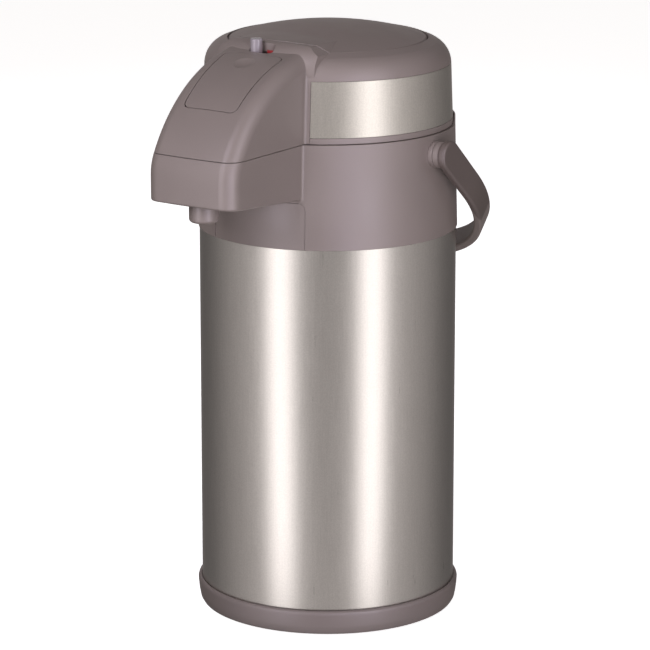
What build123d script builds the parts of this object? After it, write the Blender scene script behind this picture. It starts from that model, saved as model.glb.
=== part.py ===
"""Thermal coffee airpot: vacuum flask, bail handle and a lever-latched lid with a press-plate pump.

Millimetres. The origin is on the flask's axis at the surface it stands on. +Z is up, the spout
points along -Y, the lid hinge is at +Y, and the bail handle pivots on the X axis' two sides.
"""
from build123d import *
from math import cos, radians, sin, sqrt, tan
import os

# ---- driving dimensions ----
BODY_R = 85.0            # outside of the steel casing
SHEET = 0.8              # steel sheet, casing and flask
WALL = 2.4               # moulded plastic wall
BASE_TOP = 17.7          # seam between base and casing
CASING_TOP = 260.2       # seam between casing and collar
LID_SEAM = 328.6         # top of the collar; the lid starts LID_GAP above it
LID_GAP = 0.4
BAND_BOTTOM = 332.8      # steel band round the lid
BAND_TOP = 369.1
RIM_TOP = 385.0          # lid ring, where the press plate starts
APEX = 394.3             # top of the press plate
PLATE_BORE_R = 65.9      # hole in the lid that the press plate drops into
PLATE_R = 65.0
NOSE_HALF = 33.5         # half width of the spout nose
NOSE_ROUND = 10.0        # rounding of its long edges
STRIP_HALF = 36.4        # half width of the plastic strip at the front, between the band's ends
NECK_R = 32.0            # inside of the flask's neck
NECK_TOP = 294.0
SPOUT_Y = -138.0         # axis of the outlet tip
HINGE_Y, HINGE_Z = 90.0, 334.0            # lid hinge
PLATE_HINGE_Y, PLATE_HINGE_Z = 55.0, 376.0  # press plate hinge
LEVER_Y, LEVER_Z = -106.1, 369.5          # release lever pivot
LEVER_SLOPE = 28.4       # tilt of the lever's plate, degrees below the horizontal towards the front
BAIL_Y, BAIL_Z = -0.5, 316.0              # handle pivot
BAIL_HANG = 41.8         # how far below the horizontal the handle hangs, degrees
RUNNING = 0.05           # radial clearance of every turning fit


# ---- shapes used again and again ----
def lathe(*outline):
    """Solid turned about Z from a closed outline of (r, z) points."""
    return revolve(Plane.XZ * make_face(Polyline(*outline, close=True)), Axis.Z)


def tube(r_out, r_in, z0, z1, x=0, y=0):
    """Upright tube, or a rod where r_in is 0."""
    solid = Pos(x, y, (z0 + z1) / 2) * Cylinder(r_out, z1 - z0)
    if r_in > 0:
        solid -= Pos(x, y, (z0 + z1) / 2) * Cylinder(r_in, z1 - z0 + 2)
    return solid


def block(x0, x1, y0, y1, z0, z1):
    """Box between two corners."""
    centre = Pos((x0 + x1) / 2, (y0 + y1) / 2, (z0 + z1) / 2)
    return centre * Box(x1 - x0, y1 - y0, z1 - z0)


def rod_x(radius, x0, x1, y, z):
    """Round rod lying along X."""
    return Pos((x0 + x1) / 2, y, z) * Rot(0, 90, 0) * Cylinder(radius, abs(x1 - x0))


def rod_y(radius, y0, y1, x, z):
    """Round rod lying along Y."""
    return Pos(x, (y0 + y1) / 2, z) * Rot(90, 0, 0) * Cylinder(radius, abs(y1 - y0))


def side_profile(half_width, *outline):
    """Solid with an outline of (y, z) points, extruded equally both ways along X."""
    return extrude(Plane.YZ * make_face(Polyline(*outline, close=True)), half_width, both=True)


def around(radius, count, first_deg):
    """Places spread evenly on a circle."""
    return [
        (radius * cos(radians(first_deg + 360 / count * i)),
         radius * sin(radians(first_deg + 360 / count * i)))
        for i in range(count)
    ]


def screw(x, y, head_z, tip_z, shank_r=1.6, head_r=3.2, head_h=1.4):
    """Upright screw whose head sits below head_z and whose tip points up."""
    return tube(head_r, 0, head_z - head_h, head_z, x, y) + tube(shank_r, 0, head_z, tip_z, x, y)


def save(node, shape):
    """Write one sub-part."""
    export_step(shape, f"parts/{node}.step")


# ---- the nose: a rounded arch swept along the spout's side profile ----
NOSE_FRONT = -156.2      # upright front of the nose
NOSE_BACK = -62.0        # the sweep starts here, inside the lid
BROW_Y, BROW_Z, BROW_R = -56.7, 278.9, 108.5   # arc of its top, seen from the side
BROW_START, BROW_END = 12.8, 62.0              # the arc's slopes, degrees below the horizontal
NOSE_DEPTH = 26.0        # depth of the swept arch, less than its tightest bend
NOSE_FOOT = 288.0        # the sweep runs down to here and the underside is cut from it
UNDERSIDE_FRONT = 299.3  # height of the underside at the nose's tip
UNDERSIDE_BACK = 291.1   # and where it meets the collar


def brow_point(slope_deg, radius=BROW_R):
    """Point (y, z) at one slope on the nose's top arc, or on an arc round the same centre."""
    return (BROW_Y - radius * sin(radians(slope_deg)), BROW_Z + radius * cos(radians(slope_deg)))


def nose_form(inset=0.0):
    """Whole outer form of the nose, or the same form moved inwards by inset."""
    half, crown, top = NOSE_HALF - inset, 1.4, -inset
    arch = make_face([
        Line((-half, -NOSE_DEPTH), (-half, top - crown)),
        ThreePointArc((-half, top - crown), (0, top), (half, top - crown)),
        Line((half, top - crown), (half, -NOSE_DEPTH)),
        Line((half, -NOSE_DEPTH), (-half, -NOSE_DEPTH)),
    ])
    arch = fillet(arch.vertices().group_by(Axis.Y)[-1], NOSE_ROUND - inset)
    first, last = brow_point(BROW_START), brow_point(BROW_END)
    start = (NOSE_BACK, first[1] + (NOSE_BACK - first[0]) * tan(radians(BROW_START)))
    turn_r = (last[0] - NOSE_FRONT) / (1 - sin(radians(BROW_END)))
    corner = (NOSE_FRONT, last[1] - turn_r * cos(radians(BROW_END)))
    path = Plane.YZ * Wire([
        Line(start, first).edge(),
        ThreePointArc(first, brow_point((BROW_START + BROW_END) / 2), last).edge(),
        TangentArc(corner, last, tangent=(0, 1)).edge(),
        Line(corner, (NOSE_FRONT, NOSE_FOOT)).edge(),
    ])
    skin = sweep(Plane(origin=path @ 0, x_dir=(1, 0, 0), z_dir=path % 0) * arch, path=path)
    core_r = BROW_R - 16
    core = side_profile(
        half, (-60, 371), brow_point(BROW_START, core_r), brow_point(40, core_r),
        brow_point(BROW_END, core_r), (-141, NOSE_FOOT), (-60, NOSE_FOOT))
    under = side_profile(
        50, (-165, UNDERSIDE_FRONT + inset), (-55, UNDERSIDE_BACK + inset), (-55, 395), (-165, 395))
    return (skin + core) & under


def soft_edged_nose(radius):
    """The nose with the long edges of its underside rounded."""
    sharp = nose_form()
    low = [edge for edge in sharp.edges() if edge.bounding_box().max.Z < UNDERSIDE_FRONT + 1]
    low = [edge for edge in low if edge.bounding_box().max.Y < NOSE_BACK + 5 or abs(edge.center().X) > 1]
    low = [edge for edge in low if edge.bounding_box().max.Y > edge.bounding_box().min.Y + 0.01]
    return fillet(low, radius)


def soften_corners(solid, radius=2.5):
    """Round the two upright inside corners where the nose runs into a ring."""
    corners = []
    for edge in solid.edges():
        middle, box = edge.center(), edge.bounding_box()
        beside_nose = NOSE_HALF - 1.6 < abs(middle.X) < NOSE_HALF + 0.1
        at_ring = -81 < box.min.Y and box.max.Y < -63
        if beside_nose and at_ring and edge.geom_type not in (GeomType.LINE, GeomType.CIRCLE):
            corners.append(edge)
    return fillet(corners, radius)


NOSE = soft_edged_nose(1.6)
NOSE_INSIDE = nose_form(WALL)
LID_FLOOR_Z = LID_SEAM + LID_GAP


# ---- base ----
def make_base():
    """Base ring that closes the casing, its rubber foot and the screws into the flask support."""
    foot_in, foot_out, groove_top = 67.8, 77.2, 2.6
    rim_z, floor_z, floor_top = 0.6, 4.0, 7.6
    seat_r = BODY_R + 0.15
    outline = make_face([
        Polyline((0, floor_top), (0, floor_z), (64, floor_z), (66.5, rim_z), (foot_in, rim_z),
                 (foot_in, groove_top), (foot_out, groove_top), (foot_out, rim_z), (82, rim_z)),
        ThreePointArc((82, rim_z), (84.9, 1.6), (86.1, 3.6)),
        ThreePointArc((86.1, 3.6), (87.2, 9.0), (87.7, 15.9)),
        ThreePointArc((87.7, 15.9), (87.3, 17.2), (86.2, BASE_TOP)),
        Polyline((86.2, BASE_TOP), (seat_r, BASE_TOP), (seat_r, floor_top), (0, floor_top)),
    ])
    base = revolve(Plane.XZ * outline, Axis.Z)
    places = around(45, 3, 90)
    screws = [screw(x, y, floor_z, 13.5) for x, y in places]
    for x, y in places:
        base -= tube(1.6, 0, 0, 20, x, y)
    save("base_cover", base)
    save("base_screws", Compound(screws))
    save("foot_ring", tube(foot_out - 0.1, foot_in + 0.1, 0, groove_top))

    support = tube(BODY_R - SHEET - 0.2, 0, 7.8, 11.0) + tube(63, 60.5, 11.0, 15.0)
    for x, y in places:
        support += tube(4.5, 0, 11.0, 15.0, x, y)
        support -= tube(1.6, 0, 0, 13.5, x, y)
    save("flask_support", support)
    cushion = tube(60.3, 0, 11.1, 16.4)
    for x, y in places:
        cushion -= tube(4.7, 0, 11.0, 15.2, x, y)
    save("flask_cushion", cushion)


# ---- steel casing and vacuum flask ----
def bottle(r_body, r_neck, z0, shoulder_z, neck_z, z1):
    """Filled bottle form: straight body, curved shoulder, straight neck."""
    shoulder = Spline((r_body, shoulder_z), (r_neck, neck_z), tangents=[(0, 1.0), (0, 0.7)])
    outline = make_face([
        Line((0, z1), (0, z0)), Line((0, z0), (r_body, z0)),
        Line((r_body, z0), (r_body, shoulder_z)), shoulder,
        Line((r_neck, neck_z), (r_neck, z1)), Line((r_neck, z1), (0, z1)),
    ])
    return revolve(Plane.XZ * outline, Axis.Z)


def make_casing():
    """Outer casing, necked in at the top so that the collar sits on its shoulder."""
    neck = 82.9
    save("outer_casing", lathe(
        (BODY_R, 7.8), (BODY_R, CASING_TOP), (neck, CASING_TOP), (neck, CASING_TOP + 8),
        (neck - SHEET, CASING_TOP + 8), (neck - SHEET, CASING_TOP - SHEET),
        (BODY_R - SHEET, CASING_TOP - SHEET), (BODY_R - SHEET, 7.8),
    ))


def make_flask():
    """Double-walled steel flask. Each wall is a turned shell with its own pressed bottom."""
    inner_r, outer_r = 72.2, 78.7
    inner_shoulder, inner_neck = 232, 272
    inner = bottle(inner_r + SHEET, NECK_R + SHEET, 34, inner_shoulder, inner_neck, NECK_TOP)
    inner -= bottle(inner_r, NECK_R, 33, inner_shoulder - SHEET, inner_neck - SHEET, NECK_TOP + 1)
    weld_z = inner_shoulder - 4
    save("flask_inner_wall", inner & tube(100, 0, 0, weld_z))
    save("flask_inner_shoulder", inner & tube(100, 0, weld_z, NECK_TOP))
    gap_r = NECK_R + SHEET + 2.4
    outer = bottle(outer_r + SHEET, gap_r + SHEET, 20, 240, 280, NECK_TOP)
    outer -= bottle(outer_r, gap_r, 19, 240 - SHEET, 280 - SHEET, NECK_TOP - SHEET)
    outer -= tube(NECK_R + SHEET, 0, 280, NECK_TOP + 1)
    save("flask_outer_wall", outer)
    save("flask_inner_bottom", lathe(
        (0, 27.6), (60, 27.6), (inner_r - 0.1, 34.2), (inner_r - 0.1, 35.2), (59.7, 28.6), (0, 28.6)))
    save("flask_outer_bottom", lathe(
        (0, 16.5), (66, 16.5), (outer_r - 0.1, 21), (outer_r - 0.1, 22), (65.7, 17.5), (0, 17.5)))


# ---- collar with the lower half of the nose ----
COLLAR_BOTTOM_R, COLLAR_TOP_R = 85.8, 84.0


def collar_form(inset=0.0, z0=CASING_TOP, z1=LID_SEAM):
    """The collar's cone, moved inwards by inset."""
    return lathe((0, z0), (COLLAR_BOTTOM_R - inset, z0), (COLLAR_TOP_R - inset, z1), (0, z1))


def make_collar():
    """Shoulder ring, its inset panel under the spout, deck, and the boss screws."""
    panel_half, panel_top, seam = 35.5, 291.0, 0.25
    nose = NOSE & block(-50, 50, -170, 0, CASING_TOP, LID_SEAM)
    cavity = NOSE_INSIDE & block(-50, 50, -170, 0, CASING_TOP, LID_SEAM + 5)
    collar = soften_corners(collar_form() + nose)
    collar -= collar_form(WALL, CASING_TOP - 1, LID_SEAM + 1)
    collar -= cavity

    rim = tube(COLLAR_TOP_R, 82.95, LID_SEAM - 1, 333.3)
    rear = extrude(Plane.XZ.offset(-30) * make_face(
        Polyline((-75, LID_SEAM - 1), (75, LID_SEAM - 1), (75, LID_SEAM + 0.2), (68.5, 333.5),
                 (-68.5, 333.5), (-75, LID_SEAM + 0.2), close=True)), -70)
    collar += rim & rear
    collar -= block(-12.4, 12.4, 75, 95, LID_SEAM - 0.1, 340)

    bosses = around(79, 4, 45)
    for x, y in bosses:
        collar += tube(4.4, 0, 270, 285.9, x, y) & collar_form(0.5)
        collar -= tube(1.6, 0, 276, 290, x, y)

    panel_zone = block(-panel_half, panel_half, -100, -50, CASING_TOP - 1, panel_top)
    panel_zone = fillet(panel_zone.edges().filter_by(Axis.Y).group_by(Axis.Z)[-1], 5)
    outer_face = collar_form() - collar_form(1.4, CASING_TOP - 1, LID_SEAM + 1)
    recess = outer_face & panel_zone
    collar -= recess
    panel_solid = (collar_form(0.4) - collar_form(1.35, CASING_TOP - 1, LID_SEAM + 1))
    inner_zone = block(-panel_half + seam, panel_half - seam, -100, -50, CASING_TOP, panel_top - seam)
    panel = panel_solid & fillet(inner_zone.edges().filter_by(Axis.Y).group_by(Axis.Z)[-1], 5)
    panel -= NOSE
    save("under_spout_panel", panel)

    collar -= tube(9.6, 0, 280, 305, 0, SPOUT_Y)
    collar -= rod_x(3.05, -100, 100, BAIL_Y, BAIL_Z)
    for x in (-14, 14):
        collar -= rod_y(1.8, 70, 90, x, 320)
    save("collar", collar)

    deck_z = 286.0
    deck = tube(82.0, 37.2, deck_z, deck_z + 2.6) + tube(39.4, 37.2, deck_z, deck_z + 8)
    for x, y in bosses:
        deck -= tube(1.6, 0, deck_z - 1, deck_z + 5, x, y)
    save("inner_deck", deck)
    deck_screws = [
        tube(1.5, 0, 276.5, deck_z + 2.6, x, y) + tube(2.9, 0, deck_z + 2.6, deck_z + 4.2, x, y)
        for x, y in bosses
    ]
    save("deck_screws", Compound(deck_screws))
    save("neck_gasket", tube(37.1, NECK_R + 2 * SHEET + 2.5, 283, 290))
    bar_y = -117.8
    save("latch_catch", block(-31, 31, bar_y, bar_y + 6, 323.3, 326.5))


# ---- lid hinge ----
def make_hinge():
    """Bracket screwed to the back of the collar, with two knuckles and the lid's hinge pin."""
    knuckle_r, half = 4.8, 22.0
    bracket = block(-half, half, 78, 94, 314, 328.3)
    bracket -= collar_form(-0.05, CASING_TOP, 340)
    for side in (-1, 1):
        x0, x1 = sorted((side * 12.2, side * half))
        bracket += rod_x(knuckle_r, x0, x1, HINGE_Y, HINGE_Z)
        bracket += block(x0, x1, HINGE_Y - 3.6, HINGE_Y + knuckle_r - 1, 324, HINGE_Z)
    bracket -= rod_x(2.0, -30, 30, HINGE_Y, HINGE_Z)
    bracket -= rod_x(knuckle_r + 0.6, -12.2, 12.2, HINGE_Y, HINGE_Z)
    heads = []
    for x in (-14, 14):
        bracket -= rod_y(1.8, 75, 100, x, 320)
        heads.append(rod_y(1.75, 79.5, 94, x, 320) + rod_y(3.4, 94, 95.6, x, 320))
    save("hinge_bracket", bracket)
    save("hinge_screws", Compound(heads))
    save("lid_hinge_pin", rod_x(2.0, -half, half, HINGE_Y, HINGE_Z))


# ---- pouring parts ----
def make_siphon():
    """Plug in the flask's mouth, dip tube, spill valve ball, conduit to the spout and its tip."""
    riser_y, air_y = -12.0, 14.0
    plug = tube(31.6, 0, 282, 294.2) + tube(38, 0, 294.2, 298) + tube(8, 0, 298, 303, 0, riser_y)
    plug -= tube(32, 30, 286, 288.4)
    plug -= tube(5.0, 0, 281, 287, 0, riser_y)
    plug -= tube(4.8, 0, 286, 299, 0, riser_y)
    plug -= tube(5.5, 0, 298.5, 304, 0, riser_y)
    plug -= tube(4.0, 0, 281, 299, 0, air_y)
    save("siphon_cap", plug)
    save("cap_seal", tube(31.95, 30.1, 286.1, 288.3))
    save("dip_tube", tube(5.0, 4.0, 36, 286.9, 0, riser_y))
    ball_r = 4.4
    ball_z = 286.9 + sqrt(ball_r ** 2 - 4.0 ** 2) + 0.05
    save("spill_valve_ball", Pos(0, riser_y, ball_z) * Sphere(ball_r))

    turn, run_z, end_z = 9.0, 312.0, 300.2
    path = Plane.YZ * Wire([
        Line((riser_y, 298.6), (riser_y, run_z - turn)).edge(),
        RadiusArc((riser_y, run_z - turn), (riser_y - turn, run_z), -turn).edge(),
        Line((riser_y - turn, run_z), (SPOUT_Y + turn, run_z)).edge(),
        RadiusArc((SPOUT_Y + turn, run_z), (SPOUT_Y, run_z - turn), -turn).edge(),
        Line((SPOUT_Y, run_z - turn), (SPOUT_Y, end_z)).edge(),
    ])
    start = Plane(origin=(0, riser_y, 298.6), z_dir=(0, 0, 1))
    save("spout_conduit", sweep(start * (Circle(5.4) - Circle(4.0)), path=path))

    tip = tube(9.5, 0, 285.7, 301) + tube(12, 0, 301.0, 302.8)
    tip = fillet(tip.faces().sort_by(Axis.Z)[0].edges(), 2.5)
    tip -= tube(5.5, 0, 299.8, 305)
    tip -= tube(4.6, 0, 280, 300)
    tip -= Pos(0, 0, 287.7) * Cone(6.6, 4.6, 4.2)
    save("outlet_tip", Pos(0, SPOUT_Y, 0) * tip)


# ---- lid ----
SLOT_HALF, SLOT_R, SLOT_Y, SLOT_X = 9.25, 4.3, -74.0, 0.25


def slot_hole(half, radius, z0, z1):
    """Upright hole with round ends, long way along X, where the lock knob slides."""
    plan = Pos(SLOT_X, SLOT_Y) * SlotOverall(2 * half, 2 * radius)
    return Pos(0, 0, z0) * extrude(plan, z1 - z0)


def lever_plate_prism(grow=0.0):
    """Block with the lever's rounded trapezoid outline, square to the lever's slope."""
    frame = Plane(
        origin=(0, LEVER_Y, LEVER_Z), x_dir=(1, 0, 0),
        z_dir=(0, -sin(radians(LEVER_SLOPE)), cos(radians(LEVER_SLOPE))))
    half_len, half_top, half_bottom = 29.0 + grow, 22.0 + grow, 20.0 + grow
    plan = make_face(Polyline(
        (-half_bottom, -half_len), (half_bottom, -half_len),
        (half_top, half_len), (-half_top, half_len), close=True))
    plan = fillet(plan.vertices(), 4.5 + grow)
    return extrude(frame * plan, 14) + extrude(frame * plan, -6)


def ring_form(*outer):
    """Filled form of the lid's ring: its outside up to the band's top is given, the rest is shared."""
    crown_start, crown_end, rim = (80.9, BAND_TOP), (72, 382.6), (PLATE_BORE_R, RIM_TOP)
    outline = make_face([
        Polyline((0, RIM_TOP), (0, LID_FLOOR_Z), *outer, crown_start),
        ThreePointArc(crown_start, (77.2, 378.4), crown_end),
        Polyline(crown_end, rim, (0, RIM_TOP)),
    ])
    return revolve(Plane.XZ * outline, Axis.Z)


def ridge_arch(inset=0.0):
    """Arch that the ridge in front of the press plate, and the plate's own tongue, are cut to."""
    top_half, foot_half, crown, shoulder, foot = 30.8 - inset, 38.4 - inset, 391.6, 389.7, 384.7
    section = make_face([
        Line((-foot_half, 370), (-foot_half, foot - inset)),
        Line((-foot_half, foot - inset), (-top_half, shoulder - inset)),
        ThreePointArc((-top_half, shoulder - inset), (0, crown - inset), (top_half, shoulder - inset)),
        Line((top_half, shoulder - inset), (foot_half, foot - inset)),
        Line((foot_half, foot - inset), (foot_half, 370)), Line((foot_half, 370), (-foot_half, 370)),
    ])
    corners = [point for point in section.vertices() if abs(point.Y - shoulder + inset) < 0.1]
    return extrude(Plane.XZ * fillet(corners, 4), 100)


def make_lid():
    """Lid moulding: ring, skirt round the press plate, upper nose, ridge and hinge lug."""
    skirt_r = PLATE_BORE_R + 2.0
    lip_r, seat_bottom_r, seat_top_r = 82.5, 81.4, 80.1
    front_zone = block(-STRIP_HALF, STRIP_HALF, -90, -10, LID_FLOOR_Z - 1, 400)
    banded = ring_form((lip_r, LID_FLOOR_Z), (lip_r, BAND_BOTTOM), (seat_bottom_r, BAND_BOTTOM),
                       (seat_top_r, BAND_TOP))
    front = ring_form((lip_r - 0.2, LID_FLOOR_Z)) & front_zone
    front = soften_corners(front + (NOSE & block(-50, 50, -170, 0, LID_FLOOR_Z, 400)))
    lid = (banded - front_zone) + front
    for side in (-1, 1):
        x0, x1 = sorted((side * STRIP_HALF, side * (STRIP_HALF + 0.3)))
        lid -= tube(90, lip_r - 0.7, LID_FLOOR_Z - 1, BAND_BOTTOM) & block(x0, x1, -90, -10, 300, 400)

    ridge_back, ridge_foot = (PLATE_BORE_R, 391.3), (80.6, 372)
    ridge_band = revolve(Plane.XZ * make_face([
        Polyline(ridge_foot, (PLATE_BORE_R, 372), ridge_back),
        ThreePointArc(ridge_back, (76.2, 386.0), ridge_foot),
    ]), Axis.Z)
    lid += ridge_band & ridge_arch()

    ring_cavity = lathe(
        (skirt_r, 320), (79.9, 320), (79.2, BAND_BOTTOM), (77.9, BAND_TOP - 1), (75, 376), (skirt_r, 380))
    lid -= ring_cavity
    lid -= tube(skirt_r, 0, 320, 348)
    lid -= tube(PLATE_BORE_R, 0, 347, 400)
    lid -= (NOSE_INSIDE - tube(skirt_r, 0, 300, 400)) & block(-50, 50, -170, 0, 320, 400)

    lid -= lever_plate_prism(0.5) & block(-40, 40, -150, -70, 340, 400)
    for side in (-1, 1):
        x0, x1 = sorted((side * 23.2, side * 26.6))
        lid += block(x0, x1, LEVER_Y - 4, LEVER_Y + 4, LEVER_Z - 5, LEVER_Z + 2.8)
        x0, x1 = sorted((side * 27.5, side * 33.5))
        ear = block(x0, x1, PLATE_HINGE_Y - 5, PLATE_HINGE_Y + 14, PLATE_HINGE_Z - 5, PLATE_HINGE_Z + 4)
        lid += ear & tube(skirt_r, 0, 360, 390)
    lid -= rod_x(1.5, -27, 27, LEVER_Y, LEVER_Z)
    lid -= rod_x(1.8, -34, 34, PLATE_HINGE_Y, PLATE_HINGE_Z)
    lid -= slot_hole(SLOT_HALF, SLOT_R, 380, 400)
    lid -= block(-20, 20.5, -79.9, -68.4, 379, 383.7)

    posts = around(73, 4, 45)
    for x, y in posts:
        lid += tube(3.4, 0, 333.2, 378.5, x, y)
        lid -= tube(1.4, 0, 330, 345, x, y)

    lug = rod_x(4.8, -11.8, 11.8, HINGE_Y, HINGE_Z)
    lug += block(-11.8, 11.8, 79.5, HINGE_Y, HINGE_Z - 0.4, HINGE_Z + 4.8)
    lid += lug
    lid -= rod_x(2.0 + RUNNING, -15, 15, HINGE_Y, HINGE_Z)
    save("lid_housing", lid)

    band = lathe((82.3, BAND_BOTTOM + 0.1), (81.0, BAND_TOP - 0.1), (81.0 - SHEET, BAND_TOP - 0.1),
                 (82.3 - SHEET, BAND_BOTTOM + 0.1))
    band_end = STRIP_HALF + 0.3
    band -= block(-band_end, band_end, -90, 0, 300, 400)
    band -= block(-12, 12, 0, 95, 300, HINGE_Z + 5)
    save("lid_band", band)
    make_lid_inside(posts)


def make_lid_inside(posts):
    """Floor of the lid with its air port, bellows, spring, seals, screws and pins."""
    floor_z, floor_top, air_y, boss_bottom = 330.4, 333.1, 14.0, 301.0
    seat_top, bellows_top = 336.0, 371.0
    cover = tube(78.6, 0, floor_z, floor_top) + block(-30, 30, -143, -70, floor_z, floor_top)
    cover += tube(8, 0, boss_bottom, floor_z, 0, air_y) + tube(44, 42, floor_top, seat_top)
    cover -= tube(5, 0, boss_bottom - 1, floor_top + 1, 0, air_y)
    for side in (-1, 1):
        x0, x1 = sorted((side * 11.5, side * 18.5))
        cover -= block(x0, x1, -133, -114.5, floor_z - 1, floor_top + 1)
    for x, y in posts:
        cover -= tube(1.6, 0, floor_z - 1, floor_top + 1, x, y)
    save("lid_inner_cover", cover)
    screws = [screw(x, y, floor_z, 344, shank_r=1.4, head_r=2.8, head_h=1.2) for x, y in posts]
    save("lid_screws", Compound(screws))
    save("air_seal", tube(8, 5, 298.3, boss_bottom, 0, air_y))
    save("air_valve", tube(7.5, 0, floor_top, floor_top + 1.2, 0, air_y))
    save("slider_retainer", block(-20, 20.5, -77.2, -68.6, 379.6, 381.3))

    folds = 5
    fold_h = (bellows_top - floor_top) / folds
    outer = [(35.5, floor_top)]
    for i in range(folds):
        outer += [(41.5, floor_top + fold_h * (i + 0.5)), (35.5, floor_top + fold_h * (i + 1))]
    inner = [(r - 1.4, z) for r, z in reversed(outer)]
    save("bellows", lathe(*outer, *inner))
    coil = Helix(pitch=7, height=bellows_top - floor_top - 2.4, radius=24)
    coil = Pos(0, 0, floor_top + 1.1) * coil
    wire = Plane(origin=coil @ 0, z_dir=coil % 0) * Circle(1.0)
    save("pump_spring", sweep(wire, path=coil))

    save("plate_hinge_pin", rod_x(1.8, -33, 33, PLATE_HINGE_Y, PLATE_HINGE_Z))
    save("lever_pin", rod_x(1.5, -26.6, 26.6, LEVER_Y, LEVER_Z))
    turns = Helix(pitch=1.3, height=13, radius=2.1)
    turns = Pos(-6.5, LEVER_Y, LEVER_Z) * Rot(0, 90, 0) * turns
    spring_wire = Plane(origin=turns @ 0, z_dir=turns % 0) * Circle(0.35)
    save("lever_spring", sweep(spring_wire, path=turns))


# ---- press plate ----
def cap_arc(edge_r, edge_z, apex_z):
    """Arc of a shallow dome from its apex on the axis to its edge."""
    rise = apex_z - edge_z
    sphere_r = (edge_r ** 2 + rise ** 2) / (2 * rise)
    middle = (edge_r / 2, apex_z - sphere_r + sqrt(sphere_r ** 2 - (edge_r / 2) ** 2))
    return ThreePointArc((0, apex_z), middle, (edge_r, edge_z))


def make_press_plate():
    """Dome with a tongue that carries the ridge on, a skirt, hinge lugs, and the cup under it."""
    skin, skirt_bottom, shoulder = 2.4, 377.0, 0.9
    edge_z = RIM_TOP + 0.1
    inside_r, inside_z = PLATE_R - skin, edge_z - skin
    under = cap_arc(inside_r, inside_z, APEX - skin)
    outline = make_face([
        cap_arc(PLATE_R - shoulder, edge_z, APEX),
        Polyline((PLATE_R - shoulder, edge_z), (PLATE_R, edge_z - shoulder), (PLATE_R, skirt_bottom),
                 (0, skirt_bottom), (0, APEX)),
    ])
    room = revolve(Plane.XZ * make_face([
        Polyline((0, APEX - skin), (0, 360), (inside_r, 360), (inside_r, inside_z)), under,
    ]), Axis.Z)
    tongue_front = PLATE_R - 0.8
    tongue = ridge_arch() & lathe((0, 378), (PLATE_R, 378), (PLATE_R, 384), (tongue_front, 392), (0, 392))
    tongue_room = ridge_arch(skin) & tube(inside_r, 0, 360, 400)
    plate = (revolve(Plane.XZ * outline, Axis.Z) + tongue) - (room + tongue_room)
    for side in (-1, 1):
        x0, x1 = sorted((side * 26.8, side * 36))
        plate -= block(x0, x1, 40, 70, 370, 381.4)
        x0, x1 = sorted((side * 19.5, side * 25.5))
        lug = rod_x(4, x0, x1, PLATE_HINGE_Y, PLATE_HINGE_Z)
        lug += block(x0, x1, PLATE_HINGE_Y - 4, PLATE_HINGE_Y + 4, PLATE_HINGE_Z, edge_z - 1.6)
        plate += lug
    plate -= rod_x(1.8 + RUNNING, -40, 40, PLATE_HINGE_Y, PLATE_HINGE_Z)
    save("press_plate", plate)
    save("thrust_cup", tube(34, 0, 371.1, 373.6) + (tube(13, 10.5, 373.6, 395) & room))


# ---- lock knob ----
def make_lock_knob():
    """Peg and the slide under it that always covers the slot."""
    knob_x, knob_r = -4.5, 4.0
    slide = block(knob_x - 14.6, knob_x + 14.6, -79.5, -68.8, 381.7, 383.4)
    peg = tube(knob_r, 0, 383.4, 393.4, knob_x, SLOT_Y)
    peg = fillet(peg.faces().sort_by(Axis.Z)[-1].edges(), 1.0)
    save("lock_knob", slide + peg)


# ---- release lever ----
def make_release_lever():
    """See-saw plate flush with the nose, with a thumb dent, pivot ears and a forked latch hook."""
    lever_room = nose_form(1.0) + block(-20, 20, -140, -90, 300, 335)
    plate = (NOSE - nose_form(2.2)) & lever_plate_prism()
    dent_r, dent_deep = 22.0, 1.4
    slope = radians(19)
    lift = dent_r - dent_deep
    dent = Pos(0, -94 - lift * sin(slope), 380.9 + lift * cos(slope)) * Sphere(dent_r)
    plate -= dent
    for side in (-1, 1):
        x0, x1 = sorted((side * 12.5, side * 17.5))
        arm = side_profile(
            60, (-103.2, 373.5), (-111.0, 371.5), (-127.6, 324), (-127.6, 318.6), (-118.4, 318.6),
            (-118.4, 321.4), (-121.3, 322.4), (-103.2, 367.5))
        plate += arm & block(x0, x1, -140, -90, 300, 400) & lever_room
    plate -= rod_x(1.5 + RUNNING, -30, 30, LEVER_Y, LEVER_Z)
    save("release_lever", plate)


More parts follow.
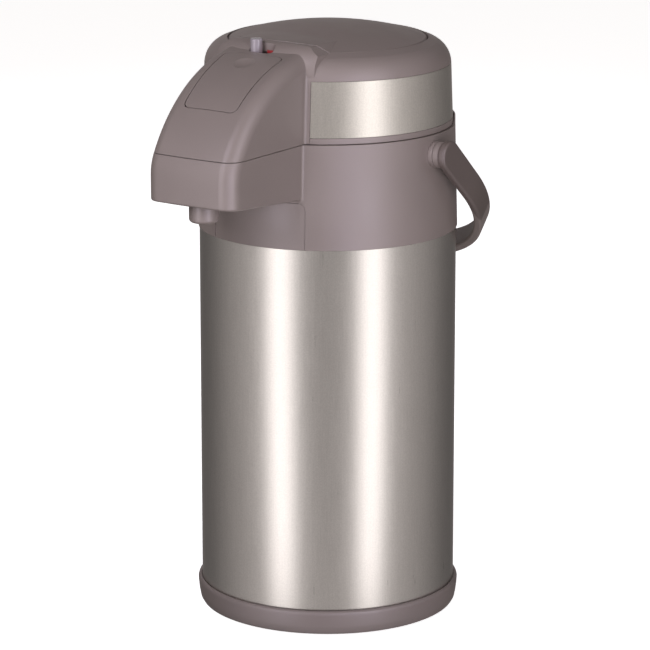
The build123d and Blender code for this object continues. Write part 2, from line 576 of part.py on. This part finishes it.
# ---- bail handle ----
def make_bail():
    """U-shaped strap in one plane, with straight arms, a half-ellipse grip and pivot hubs."""
    reach, straight, edge_round = 129.0, 35.0, 1.8
    arm_mid, arm_t, grip_t = 94.7, 5.5, 7.0
    pivot_half, grip_half = 9.8, 8.0
    frame = Plane(
        origin=(0, BAIL_Y, BAIL_Z), x_dir=(1, 0, 0),
        z_dir=(0, sin(radians(BAIL_HANG)), cos(radians(BAIL_HANG))))

    def arch(half_width, far):
        """Filled arch: straight sides to the curve's start, then half an ellipse."""
        side = Rectangle(2 * half_width, straight + pivot_half, align=(Align.CENTER, Align.MIN))
        return Pos(0, -pivot_half) * side + Pos(0, straight) * Ellipse(half_width, far - straight)

    flat = arch(arm_mid + arm_t / 2, reach + grip_t / 2) - arch(arm_mid - arm_t / 2, reach - grip_t / 2)
    flat -= Pos(0, -pivot_half - 50) * Rectangle(300, 100)
    bar = extrude(flat, pivot_half, both=True)
    taper = make_face([
        ThreePointArc((0, pivot_half), (-pivot_half, 0), (0, -pivot_half)),
        Line((0, -pivot_half), (reach + 10, -grip_half)),
        Line((reach + 10, -grip_half), (reach + 10, grip_half)),
        Line((reach + 10, grip_half), (0, pivot_half)),
    ])
    bar &= extrude(Plane.YZ * taper, 120, both=True)
    bar = fillet([edge for edge in bar.edges() if edge.length > 20], edge_round)
    for side in (-1, 1):
        x0, x1 = sorted((side * 87.6, side * (arm_mid - 1)))
        bar += rod_x(8.5, x0, x1, 0, 0)
        x0, x1 = sorted((side * 87, side * 93.4))
        bar -= rod_x(3.0 + RUNNING, x0, x1, 0, 0)
    save("bail_handle", frame * bar)

    bushes, pins = [], []
    for side in (-1, 1):
        x0, x1 = sorted((side * 80, side * 87.2))
        bush = rod_x(8.5, x0, x1, BAIL_Y, BAIL_Z) - collar_form(-0.02)
        bushes.append(bush - rod_x(3.05, -100, 100, BAIL_Y, BAIL_Z))
        x0, x1 = sorted((side * 79, side * 93.2))
        head0, head1 = sorted((side * 77.4, side * 79))
        pins.append(rod_x(3.0, x0, x1, BAIL_Y, BAIL_Z) + rod_x(6, head0, head1, BAIL_Y, BAIL_Z))
    save("handle_bushes", Compound(bushes))
    save("handle_pins", Compound(pins))


os.makedirs("parts", exist_ok=True)
make_base()
make_casing()
make_flask()
make_collar()
make_hinge()
make_siphon()
make_lid()
make_press_plate()
make_lock_knob()
make_release_lever()
make_bail()
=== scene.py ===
"""Thermal coffee airpot: the finish of every part of the pot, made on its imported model.

Metres. The flask's axis is the Z axis and the pot stands on Z = 0. The spout points along -Y.
"""
from math import cos, pi, radians, sin

import bmesh
import bpy
from mathutils import Matrix, Vector


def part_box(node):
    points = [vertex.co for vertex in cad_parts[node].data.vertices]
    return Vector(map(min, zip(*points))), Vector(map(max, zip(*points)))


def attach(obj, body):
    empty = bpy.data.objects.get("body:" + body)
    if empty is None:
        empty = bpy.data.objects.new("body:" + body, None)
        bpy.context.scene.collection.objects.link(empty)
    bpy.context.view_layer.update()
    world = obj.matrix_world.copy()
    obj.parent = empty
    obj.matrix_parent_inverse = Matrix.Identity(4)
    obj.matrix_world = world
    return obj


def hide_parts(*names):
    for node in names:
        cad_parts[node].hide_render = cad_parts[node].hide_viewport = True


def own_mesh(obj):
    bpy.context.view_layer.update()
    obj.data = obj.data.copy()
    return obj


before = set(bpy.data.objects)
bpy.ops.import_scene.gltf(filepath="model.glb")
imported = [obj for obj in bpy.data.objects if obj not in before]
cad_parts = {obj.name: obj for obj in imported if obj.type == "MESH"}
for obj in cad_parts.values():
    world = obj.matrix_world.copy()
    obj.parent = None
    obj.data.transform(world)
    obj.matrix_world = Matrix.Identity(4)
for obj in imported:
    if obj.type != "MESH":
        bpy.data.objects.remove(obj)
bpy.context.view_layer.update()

# ---- steel casing ----
# The casing is a tube of 0.8 mm satin stainless steel sheet, brushed, and necked in at its top
# so that the collar sits on its shoulder. The base closes its lower end.


def brushed_steel(name, colour, roughness, streak=(1300, 1300, 45), relief=0.04, speckle=0.05):
    """Material of brushed sheet steel, its streaks drawn out along Z."""
    material = bpy.data.materials.new(name)
    material.use_nodes = True
    nodes, links = material.node_tree.nodes, material.node_tree.links
    shader = nodes["Principled BSDF"]
    shader.inputs["Metallic"].default_value = 1
    shader.inputs["Anisotropic"].default_value = 0.4
    place = nodes.new("ShaderNodeTexCoord")
    stretch = nodes.new("ShaderNodeMapping")
    stretch.inputs["Scale"].default_value = streak
    links.new(place.outputs["Object"], stretch.inputs["Vector"])
    lines = nodes.new("ShaderNodeTexNoise")
    lines.inputs["Scale"].default_value = 1
    lines.inputs["Detail"].default_value = 3
    links.new(stretch.outputs["Vector"], lines.inputs["Vector"])
    tint = nodes.new("ShaderNodeMapRange")
    tint.inputs["To Min"].default_value = 0.93
    tint.inputs["To Max"].default_value = 1.07
    links.new(lines.outputs["Fac"], tint.inputs["Value"])
    colour_node = nodes.new("ShaderNodeVectorMath")
    colour_node.operation = "SCALE"
    colour_node.inputs[0].default_value = colour
    grains = nodes.new("ShaderNodeTexNoise")
    grains.inputs["Scale"].default_value = 1100
    grains.inputs["Detail"].default_value = 1
    links.new(place.outputs["Object"], grains.inputs["Vector"])
    mottle = nodes.new("ShaderNodeMapRange")
    mottle.inputs["From Min"].default_value = 0.3
    mottle.inputs["From Max"].default_value = 0.7
    mottle.inputs["To Min"].default_value = 1 - speckle
    mottle.inputs["To Max"].default_value = 1 + speckle
    links.new(grains.outputs["Fac"], mottle.inputs["Value"])
    mixed = nodes.new("ShaderNodeMath")
    mixed.operation = "MULTIPLY"
    links.new(tint.outputs["Result"], mixed.inputs[0])
    links.new(mottle.outputs["Result"], mixed.inputs[1])
    links.new(mixed.outputs["Value"], colour_node.inputs["Scale"])
    links.new(colour_node.outputs["Vector"], shader.inputs["Base Color"])
    rough = nodes.new("ShaderNodeMapRange")
    rough.inputs["To Min"].default_value = roughness - 0.05
    rough.inputs["To Max"].default_value = roughness + 0.05
    links.new(lines.outputs["Fac"], rough.inputs["Value"])
    links.new(rough.outputs["Result"], shader.inputs["Roughness"])
    soft = nodes.new("ShaderNodeBevel")
    soft.samples = 4
    soft.inputs["Radius"].default_value = 0.0004
    bump = nodes.new("ShaderNodeBump")
    bump.inputs["Strength"].default_value = relief
    bump.inputs["Distance"].default_value = 0.0001
    links.new(soft.outputs["Normal"], bump.inputs["Normal"])
    links.new(lines.outputs["Fac"], bump.inputs["Height"])
    links.new(bump.outputs["Normal"], shader.inputs["Normal"])
    return material


def keep_piece(name, shape, material, body, replaced=None):
    """Turn a finished bmesh into a piece that rides on a body and may stand for a CAD node."""
    data = bpy.data.meshes.new(name)
    shape.to_mesh(data)
    shape.free()
    data.polygons.foreach_set("use_smooth", [True] * len(data.polygons))
    data.set_sharp_from_angle(angle=radians(40))
    data.materials.append(material)
    piece = bpy.data.objects.new(name, data)
    bpy.context.scene.collection.objects.link(piece)
    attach(piece, body)
    if replaced:
        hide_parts(replaced)
    return piece


def turned(outline, rounding, steps=192):
    """Shape spun round the Z axis from (radius, height) points, its sharp edges rounded.

    An outline that starts and ends on the axis is closed by its poles. Any other is closed by a last side.
    """
    shape = bmesh.new()
    corners = [shape.verts.new((radius, 0, z)) for radius, z in outline]
    sides = [shape.edges.new(pair) for pair in zip(corners, corners[1:])]
    if outline[0][0] > 0:
        sides.append(shape.edges.new((corners[-1], corners[0])))
    bmesh.ops.spin(shape, geom=corners + sides, cent=(0, 0, 0), axis=(0, 0, 1), angle=2 * pi,
                   steps=steps, use_merge=True)
    bmesh.ops.remove_doubles(shape, verts=shape.verts, dist=1e-6)
    bmesh.ops.recalc_face_normals(shape, faces=shape.faces)
    sharp = [edge for edge in shape.edges if edge.is_manifold and edge.calc_face_angle() > radians(20)]
    bmesh.ops.bevel(shape, geom=sharp, offset=rounding, offset_type="OFFSET", segments=3, profile=0.5,
                    affect="EDGES", material=-1, clamp_overlap=True)
    return shape


casing_low, casing_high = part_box("outer_casing")
casing_steel = brushed_steel("brushed casing steel", (0.63, 0.60, 0.58), 0.30)
sheet = 0.0008
casing_r, neck_r = casing_high[0], casing_high[0] - 0.0021
shoulder_z = casing_high[2] - 0.008
casing_shape = turned((
    (casing_r, casing_low[2]), (casing_r, shoulder_z), (neck_r, shoulder_z), (neck_r, casing_high[2]),
    (neck_r - sheet, casing_high[2]), (neck_r - sheet, shoulder_z - sheet),
    (casing_r - sheet, shoulder_z - sheet), (casing_r - sheet, casing_low[2])), 0.00015, steps=256)
keep_piece("steel_casing", casing_shape, casing_steel, "body", "outer_casing")

# ---- base and rubber foot ----
# The base is a moulded ring of warm taupe plastic with a very fine grain, pressed over the casing
# and held by three plated screws from below. A black rubber ring sits in a groove under it.


def surface_grain():
    """Group: the fine grain of a moulded surface, as a height, and faint cloudy shading of its colour."""
    group = bpy.data.node_groups.new("surface grain", "ShaderNodeTree")
    face = group.interface
    face.new_socket("Colour", in_out="INPUT", socket_type="NodeSocketColor")
    face.new_socket("Grain size", in_out="INPUT", socket_type="NodeSocketFloat").default_value = 2500
    face.new_socket("Roughness", in_out="INPUT", socket_type="NodeSocketFloat").default_value = 0.45
    face.new_socket("Colour", in_out="OUTPUT", socket_type="NodeSocketColor")
    face.new_socket("Roughness", in_out="OUTPUT", socket_type="NodeSocketFloat")
    face.new_socket("Height", in_out="OUTPUT", socket_type="NodeSocketFloat")
    nodes, links = group.nodes, group.links
    given = nodes.new("NodeGroupInput")
    out = nodes.new("NodeGroupOutput")
    place = nodes.new("ShaderNodeTexCoord")

    fine = nodes.new("ShaderNodeTexNoise")
    fine.inputs["Detail"].default_value = 2
    links.new(place.outputs["Object"], fine.inputs["Vector"])
    links.new(given.outputs["Grain size"], fine.inputs["Scale"])
    links.new(fine.outputs["Fac"], out.inputs["Height"])

    cloud = nodes.new("ShaderNodeTexNoise")
    cloud.inputs["Scale"].default_value = 38
    cloud.inputs["Detail"].default_value = 5
    links.new(place.outputs["Object"], cloud.inputs["Vector"])
    shade = nodes.new("ShaderNodeMapRange")
    shade.inputs["To Min"].default_value = 0.965
    shade.inputs["To Max"].default_value = 1.035
    links.new(cloud.outputs["Fac"], shade.inputs["Value"])
    speck = nodes.new("ShaderNodeMapRange")
    speck.inputs["To Min"].default_value = 0.93
    speck.inputs["To Max"].default_value = 1.07
    links.new(fine.outputs["Fac"], speck.inputs["Value"])
    both = nodes.new("ShaderNodeMath")
    both.operation = "MULTIPLY"
    links.new(shade.outputs["Result"], both.inputs[0])
    links.new(speck.outputs["Result"], both.inputs[1])
    tint = nodes.new("ShaderNodeVectorMath")
    tint.operation = "SCALE"
    links.new(given.outputs["Colour"], tint.inputs[0])
    links.new(both.outputs["Value"], tint.inputs["Scale"])
    links.new(tint.outputs["Vector"], out.inputs["Colour"])

    worn = nodes.new("ShaderNodeMapRange")
    worn.inputs["From Min"].default_value = 0.35
    worn.inputs["From Max"].default_value = 0.65
    worn.inputs["To Min"].default_value = -0.03
    worn.inputs["To Max"].default_value = 0.05
    links.new(cloud.outputs["Fac"], worn.inputs["Value"])
    rough = nodes.new("ShaderNodeMath")
    links.new(given.outputs["Roughness"], rough.inputs[0])
    links.new(worn.outputs["Result"], rough.inputs[1])
    links.new(rough.outputs["Value"], out.inputs["Roughness"])
    return group


GRAIN = surface_grain()


def moulded(name, colour, roughness, grain=2500, relief=0.06, edge=0.0004, coat=0.0, specular=0.6):
    """Material of one moulding: its colour and grain, and edges that catch the light."""
    material = bpy.data.materials.new(name)
    material.use_nodes = True
    nodes, links = material.node_tree.nodes, material.node_tree.links
    shader = nodes["Principled BSDF"]
    shader.inputs["IOR"].default_value = 1.7
    shader.inputs["Specular IOR Level"].default_value = specular
    shader.inputs["Specular Tint"].default_value = (0.88, 0.83, 1.0, 1)
    shader.inputs["Coat Weight"].default_value = coat
    shader.inputs["Coat Roughness"].default_value = 0.12
    group = nodes.new("ShaderNodeGroup")
    group.node_tree = GRAIN
    group.inputs["Colour"].default_value = (*colour, 1)
    group.inputs["Grain size"].default_value = grain
    group.inputs["Roughness"].default_value = roughness
    links.new(group.outputs["Colour"], shader.inputs["Base Color"])
    links.new(group.outputs["Roughness"], shader.inputs["Roughness"])
    soft = nodes.new("ShaderNodeBevel")
    soft.samples = 6
    soft.inputs["Radius"].default_value = edge
    bump = nodes.new("ShaderNodeBump")
    bump.inputs["Strength"].default_value = relief
    bump.inputs["Distance"].default_value = 0.0002
    links.new(soft.outputs["Normal"], bump.inputs["Normal"])
    links.new(group.outputs["Height"], bump.inputs["Height"])
    links.new(bump.outputs["Normal"], shader.inputs["Normal"])
    return material


def finish_node(material, *names):
    """Give CAD nodes one material."""
    for name in names:
        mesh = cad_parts[name].data
        mesh.materials.clear()
        mesh.materials.append(material)


# The base's taupe is darker than the collar's: a painted shade for the dimmer light low on the pot.
base_plastic_painted_shade = moulded("taupe base plastic with painted shade", (0.19, 0.16, 0.145), 0.42, specular=0.75)
base_low, base_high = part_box("base_cover")
foot_low, foot_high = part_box("foot_ring")
base_r, floor_low, floor_high = base_high[0], base_low[2] + 0.0034, base_low[2] + 0.0070
groove_out, groove_in = foot_high[0] + 0.0001, foot_high[0] - 0.0093
base_outline = (
    (0, floor_low), (groove_in - 0.0038, floor_low), (groove_in - 0.0013, base_low[2]),
    (groove_in, base_low[2]), (groove_in, foot_high[2]), (groove_out, foot_high[2]),
    (groove_out, base_low[2]), (base_r - 0.0057, base_low[2]), (base_r - 0.0028, base_low[2] + 0.0010),
    (base_r - 0.0016, base_low[2] + 0.0030), (base_r - 0.0008, base_low[2] + 0.0070),
    (base_r - 0.0002, base_low[2] + 0.0120), (base_r, base_high[2] - 0.0021),
    (base_r - 0.0004, base_high[2] - 0.0008), (base_r - 0.0015, base_high[2]),
    (casing_high[0] + 0.00015, base_high[2]), (casing_high[0] + 0.00015, floor_high), (0, floor_high))
base_shape = turned(base_outline, 0.0003)
keep_piece("base_moulding", base_shape, base_plastic_painted_shade, "body", "base_cover")

foot_rubber = moulded("black foot rubber", (0.012, 0.012, 0.012), 0.8, grain=1200, relief=0.3)
foot_shape = turned(((foot_high[0], 0), (foot_high[0], foot_high[2]), (foot_high[0] - 0.0092, foot_high[2]),
                     (foot_high[0] - 0.0092, 0)), 0.0005)
keep_piece("rubber_foot", foot_shape, foot_rubber, "body", "foot_ring")

plated = brushed_steel("plated steel", (0.58, 0.58, 0.58), 0.18)
finish_node(plated, "base_screws")

# ---- flask support and cushion ----
# A stiff plastic plate takes the base screws, and a milky silicone pad on it carries the flask.
dark = moulded("dark inner plastic", (0.03, 0.028, 0.028), 0.5)
silicone = moulded("milky silicone", (0.6, 0.58, 0.54), 0.5)
finish_node(dark, "flask_support")
finish_node(silicone, "flask_cushion")

# ---- vacuum flask ----
# Two drawn steel shells with a gap between them, welded at the neck, each with a pressed bottom.
# A silicone gasket seals the neck against the inner deck.
flask_steel = brushed_steel("drawn flask steel", (0.56, 0.55, 0.54), 0.22)
finish_node(flask_steel, "flask_outer_wall", "flask_outer_bottom", "flask_inner_wall",
            "flask_inner_shoulder", "flask_inner_bottom")
finish_node(silicone, "neck_gasket")

# ---- collar, its deck and the panel under the spout ----
# The collar is a satin taupe moulding with the lower half of the nose. A dark deck inside it holds
# the flask down with four screws, and a thin panel closes the front under the spout.
TAUPE = (0.248, 0.21, 0.188)
shell_plastic = moulded("taupe shell plastic", TAUPE, 0.42, specular=0.75)
finish_node(shell_plastic, "collar", "under_spout_panel")
finish_node(dark, "inner_deck", "latch_catch")
finish_node(plated, "deck_screws")

# ---- siphon ----
# A plug in the flask mouth carries the steel dip tube, a ball that stops spills, and the conduit
# that runs forward to the outlet tip under the nose.
finish_node(dark, "siphon_cap", "spout_conduit")
finish_node(silicone, "cap_seal")
finish_node(flask_steel, "dip_tube")
finish_node(plated, "spill_valve_ball")
finish_node(shell_plastic, "outlet_tip")

# ---- rear hinge ----
# A dark bracket is screwed to the back of the collar. The lid turns on a plated pin through it.
finish_node(dark, "hinge_bracket")
finish_node(plated, "hinge_screws", "lid_hinge_pin")

# ---- lid ----
# The lid is a taupe moulding with the upper half of the nose, wrapped by a brushed steel band.
# A dark floor with an air port is screwed up into it.
finish_node(shell_plastic, "lid_housing")
finish_node(brushed_steel("brushed band steel", (0.70, 0.665, 0.63), 0.36), "lid_band")
finish_node(dark, "lid_inner_cover")
finish_node(plated, "lid_screws")
finish_node(silicone, "air_seal", "air_valve")

# ---- bellows and pump spring ----
# The bellows is a ribbed sleeve of silicone with five folds, clipped over the lid floor. A round-wire
# spring inside it pushes the press plate up again. Both shorten as the plate goes down.
bellows_low, bellows_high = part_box("bellows")
folds, wall = 5, 0.0014
fold_r, valley_r = bellows_high[0], bellows_high[0] - 0.006
fold_height = (bellows_high[2] - bellows_low[2]) / folds
ribs = [(valley_r, bellows_low[2])]
for fold in range(folds):
    ribs.append((fold_r, bellows_low[2] + fold_height * (fold + 0.5)))
    ribs.append((valley_r, bellows_low[2] + fold_height * (fold + 1)))
inside_ribs = [(radius - wall, z) for radius, z in reversed(ribs)]
bellows = keep_piece("ribbed_bellows", turned((*ribs, *inside_ribs), 0.0005), silicone, "lid",
                     "bellows")
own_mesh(bellows)

spring_low, spring_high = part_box("pump_spring")
wire_r, coils, steps_each = 0.001, 5, 48
coil_r = spring_high[0] - wire_r
climb = (spring_high[2] - spring_low[2] - 2 * wire_r) / (coils * steps_each)
wire = bmesh.new()
bmesh.ops.create_circle(wire, cap_ends=True, radius=wire_r, segments=16)
upright = Matrix.Translation((coil_r, 0, spring_low[2] + wire_r)) @ Matrix.Rotation(pi / 2, 4, "X")
bmesh.ops.transform(wire, matrix=upright, verts=wire.verts)
bmesh.ops.spin(wire, geom=list(wire.faces), cent=(0, 0, 0), axis=(0, 0, 1), dvec=(0, 0, climb),
               angle=2 * pi * coils, steps=coils * steps_each)
bmesh.ops.recalc_face_normals(wire, faces=wire.faces)
spring = keep_piece("wire_pump_spring", wire, plated, "lid", "pump_spring")
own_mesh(spring)

# ---- press plate ----
# The domed taupe plate that is pushed down to pump. It tips on a plated pin at the back of the lid,
# and a dark cup under it bears on the bellows.
finish_node(shell_plastic, "press_plate")
finish_node(dark, "thrust_cup")
finish_node(plated, "plate_hinge_pin")

# ---- lock knob ----
# The peg is a glossy grey moulding on a thin slide that a dark plate holds up under the lid. The slide
# has a red inlay beside the peg, and a red tab is stuck to the back wall of the slot.
knob_plastic = moulded("grey knob plastic", (0.36, 0.33, 0.35), 0.16, relief=0.01, coat=0.5)
knob_low, knob_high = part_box("lock_knob")
peg_x, peg_y, peg_r = (knob_low[0] + knob_high[0]) / 2, -0.074, 0.004
slide_top = knob_low[2] + 0.0017
peg_shape = turned(((0, knob_high[2]), (peg_r - 0.0001, knob_high[2]), (peg_r, knob_high[2] - 0.0008),
                    (peg_r, slide_top - 0.0004), (0, slide_top - 0.0004)), 0.0006, steps=96)
bmesh.ops.translate(peg_shape, vec=(peg_x, peg_y, 0), verts=peg_shape.verts)
keep_piece("lock_peg", peg_shape, knob_plastic, "knob", "lock_knob")


def slab(low, high, rounding):
    """Flat moulding between two corners, its edges rounded."""
    shape = bmesh.new()
    middle = [(a + b) / 2 for a, b in zip(low, high)]
    size = [b - a for a, b in zip(low, high)]
    bmesh.ops.create_cube(shape, size=1)
    bmesh.ops.scale(shape, vec=size, verts=shape.verts)
    bmesh.ops.translate(shape, vec=middle, verts=shape.verts)
    bmesh.ops.bevel(shape, geom=shape.edges, offset=rounding, offset_type="OFFSET", segments=3,
                    profile=0.5, affect="EDGES", material=-1, clamp_overlap=True)
    return shape


slide_shape = slab(knob_low, (knob_high[0], knob_high[1], slide_top), 0.0004)
keep_piece("lock_slide_plate", slide_shape, knob_plastic, "knob")
mark_red = moulded("red lock mark", (0.42, 0.03, 0.03), 0.35, relief=0.01)
mark_left, mark_right, mark_edge = 0.0009, 0.0067, 0.0001
mark_shape = slab((mark_left, peg_y - 0.002, slide_top - 0.0004),
                  (mark_right, peg_y + 0.0025, slide_top + 0.00005), mark_edge)
keep_piece("lock_mark_inlay", mark_shape, mark_red, "knob")
tab_y = peg_y + 0.0041
tab_shape = slab((mark_left, tab_y, slide_top + 0.0004),
                 (mark_right, tab_y + 0.0004, slide_top + 0.0024), mark_edge)
keep_piece("lock_mark_tab", tab_shape, mark_red, "lid")
finish_node(dark, "slider_retainer")

# ---- release lever ----
# A see-saw plate in the nose on a plated pin, sprung, with a dent for the thumb. Same plastic as the lid.
finish_node(shell_plastic, "release_lever")
finish_node(plated, "lever_pin", "lever_spring")

# ---- bail handle ----
# A moulded strap that swings on two plated pins, with taupe hubs against taupe bushes. Its arms are painted
# dark brown, a painted shade.
# Dark brown painted shade for the arms beyond the hubs; the hubs keep the taupe.
HANDLE_PAINTED_SHADE = (0.12, 0.095, 0.08)
HUB_END = 0.0915
handle_plastic = moulded("handle plastic with painted shade", HANDLE_PAINTED_SHADE, 0.38, specular=0.75)
nodes, links = handle_plastic.node_tree.nodes, handle_plastic.node_tree.links
place = nodes.new("ShaderNodeTexCoord")
across = nodes.new("ShaderNodeSeparateXYZ")
links.new(place.outputs["Object"], across.inputs["Vector"])
from_middle = nodes.new("ShaderNodeMath")
from_middle.operation = "ABSOLUTE"
links.new(across.outputs["X"], from_middle.inputs[0])
outside = nodes.new("ShaderNodeMapRange")
outside.inputs["From Min"].default_value = HUB_END - 0.0003
outside.inputs["From Max"].default_value = HUB_END + 0.0003
links.new(from_middle.outputs["Value"], outside.inputs["Value"])
# Beyond HUB_END the colour turns from taupe to the painted shade.
arm_painted_shade = nodes.new("ShaderNodeMix")
arm_painted_shade.data_type = "RGBA"
arm_painted_shade.inputs["A"].default_value = (*TAUPE, 1)
arm_painted_shade.inputs["B"].default_value = (*HANDLE_PAINTED_SHADE, 1)
links.new(outside.outputs["Result"], arm_painted_shade.inputs["Factor"])
grain_node = next(node for node in nodes if node.type == "GROUP")
links.new(arm_painted_shade.outputs["Result"], grain_node.inputs["Colour"])
finish_node(handle_plastic, "bail_handle")
finish_node(shell_plastic, "handle_bushes")
finish_node(plated, "handle_pins")

# ---- floor, light and camera ----
# The pot stands on a pale glowing floor. Soft lamps either side light its plastic, tall strips and a
# ring of greys show in its steel, and the camera looks at it from the front right.
stage_mesh = bmesh.new()
bmesh.ops.create_grid(stage_mesh, x_segments=1, y_segments=1, size=6)
floor_data = bpy.data.meshes.new("floor")
stage_mesh.to_mesh(floor_data)
stage_mesh.free()
floor = bpy.data.objects.new("floor", floor_data)
bpy.context.scene.collection.objects.link(floor)
floor.visible_glossy = False
floor.visible_diffuse = False
floor.visible_shadow = False
paint = bpy.data.materials.new("pale floor")
paint.use_nodes = True
paint.node_tree.nodes["Principled BSDF"].inputs["Base Color"].default_value = (0.9, 0.9, 0.9, 1)
paint.node_tree.nodes["Principled BSDF"].inputs["Roughness"].default_value = 1
paint.node_tree.nodes["Principled BSDF"].inputs["Specular IOR Level"].default_value = 0
paint.node_tree.nodes["Principled BSDF"].inputs["Emission Color"].default_value = (1, 1, 1, 1)
paint.node_tree.nodes["Principled BSDF"].inputs["Emission Strength"].default_value = 0.85
floor_data.materials.append(paint)

VIEW_TURN, VIEW_DROP = radians(34.5), radians(14.18)
view_from = Vector((1.3068, -1.9047, 0.7735))
forward = Vector((-sin(VIEW_TURN) * cos(VIEW_DROP), cos(VIEW_TURN) * cos(VIEW_DROP), -sin(VIEW_DROP)))
camera_data = bpy.data.cameras.new("camera")
camera_data.lens = 197.5
camera_data.sensor_width = 36
camera = bpy.data.objects.new("camera", camera_data)
camera.location = view_from
camera.rotation_euler = forward.to_track_quat("-Z", "Y").to_euler()
bpy.context.scene.collection.objects.link(camera)
bpy.context.scene.camera = camera


def softbox(name, turn, distance, width, bottom, top, power, colour, on_gloss):
    """Tall rectangular light, turn degrees to the right of the camera, facing the pot."""
    data = bpy.data.lights.new(name, "AREA")
    data.shape = "RECTANGLE"
    data.size, data.size_y = width, top - bottom
    data.energy = power
    data.color = colour
    light = bpy.data.objects.new(name, data)
    angle = VIEW_TURN + radians(turn)
    middle = (top + bottom) / 2
    light.location = (distance * sin(angle), -distance * cos(angle), middle)
    towards = Vector((-sin(angle), cos(angle), 0 if on_gloss else (0.25 - middle) / distance))
    light.rotation_euler = towards.to_track_quat("-Z", "Y").to_euler()
    light.visible_glossy = on_gloss
    light.visible_diffuse = not on_gloss
    bpy.context.scene.collection.objects.link(light)


softbox("left key", -38, 1.5, 0.7, 0.85, 1.95, 18, (0.93, 0.89, 1.0), False)
softbox("right key", 19, 1.5, 0.7, -0.4, 0.9, 14.5, (0.93, 0.89, 1.0), False)
for side, turn in (("left", -41.5), ("right", 38.5)):
    softbox(f"{side} strip", turn, 1.5, 0.56, -0.9, 1.9, 10, (1.0, 0.975, 0.965), True)
for side, turn, power in (("left", -140, 5), ("right", 140, 3)):
    softbox(f"{side} back fill", turn, 1.5, 0.7, 0.25, 1.45, power, (0.95, 0.93, 1.0), False)

# Rays from the camera see white, glossy rays see the ring of greys, all others a warm dim room.
world = bpy.data.worlds.new("studio")
world.use_nodes = True
bpy.context.scene.world = world
nodes, links = world.node_tree.nodes, world.node_tree.links
gloss = nodes["Background"]
place = nodes.new("ShaderNodeTexCoord")
front = nodes.new("ShaderNodeVectorMath")
front.operation = "DOT_PRODUCT"
front.inputs[1].default_value = (sin(VIEW_TURN), -cos(VIEW_TURN), 0)
links.new(place.outputs["Generated"], front.inputs[0])
turn_to_front = nodes.new("ShaderNodeMapRange")
turn_to_front.inputs["From Min"].default_value = -1
links.new(front.outputs["Value"], turn_to_front.inputs["Value"])
walls = nodes.new("ShaderNodeValToRGB")
ramp = walls.color_ramp
for at, grey in ((0.025, 0.22), (0.063, 0.10), (0.213, 0.14), (0.465, 0.34), (0.671, 0.46), (0.883, 0.46)):
    ramp.elements.new(at).color = (grey, grey * 0.945, grey * 0.915, 1)
ramp.elements[0].color = (0.42, 0.397, 0.384, 1)
ramp.elements[-1].color = (0.34, 0.321, 0.311, 1)
links.new(turn_to_front.outputs["Result"], walls.inputs["Fac"])
links.new(walls.outputs["Color"], gloss.inputs["Color"])
ambient = nodes.new("ShaderNodeBackground")
ambient.inputs["Color"].default_value = (0.20, 0.168, 0.146, 1)
height = nodes.new("ShaderNodeSeparateXYZ")
links.new(place.outputs["Generated"], height.inputs["Vector"])
ceiling = nodes.new("ShaderNodeMapRange")
ceiling.inputs["From Min"].default_value = 0
ceiling.inputs["To Min"].default_value = 1
ceiling.inputs["To Max"].default_value = 0.3
links.new(height.outputs["Z"], ceiling.inputs["Value"])
links.new(ceiling.outputs["Result"], ambient.inputs["Strength"])
page = nodes.new("ShaderNodeBackground")
page.inputs["Color"].default_value = (1, 1, 1, 1)
which = nodes.new("ShaderNodeLightPath")
seen_in_gloss = nodes.new("ShaderNodeMixShader")
seen = nodes.new("ShaderNodeMixShader")
links.new(which.outputs["Is Glossy Ray"], seen_in_gloss.inputs["Fac"])
links.new(ambient.outputs["Background"], seen_in_gloss.inputs[1])
links.new(gloss.outputs["Background"], seen_in_gloss.inputs[2])
links.new(which.outputs["Is Camera Ray"], seen.inputs["Fac"])
links.new(seen_in_gloss.outputs["Shader"], seen.inputs[1])
links.new(page.outputs["Background"], seen.inputs[2])
links.new(seen.outputs["Shader"], nodes["World Output"].inputs["Surface"])
bpy.context.scene.view_settings.view_transform = "Standard"
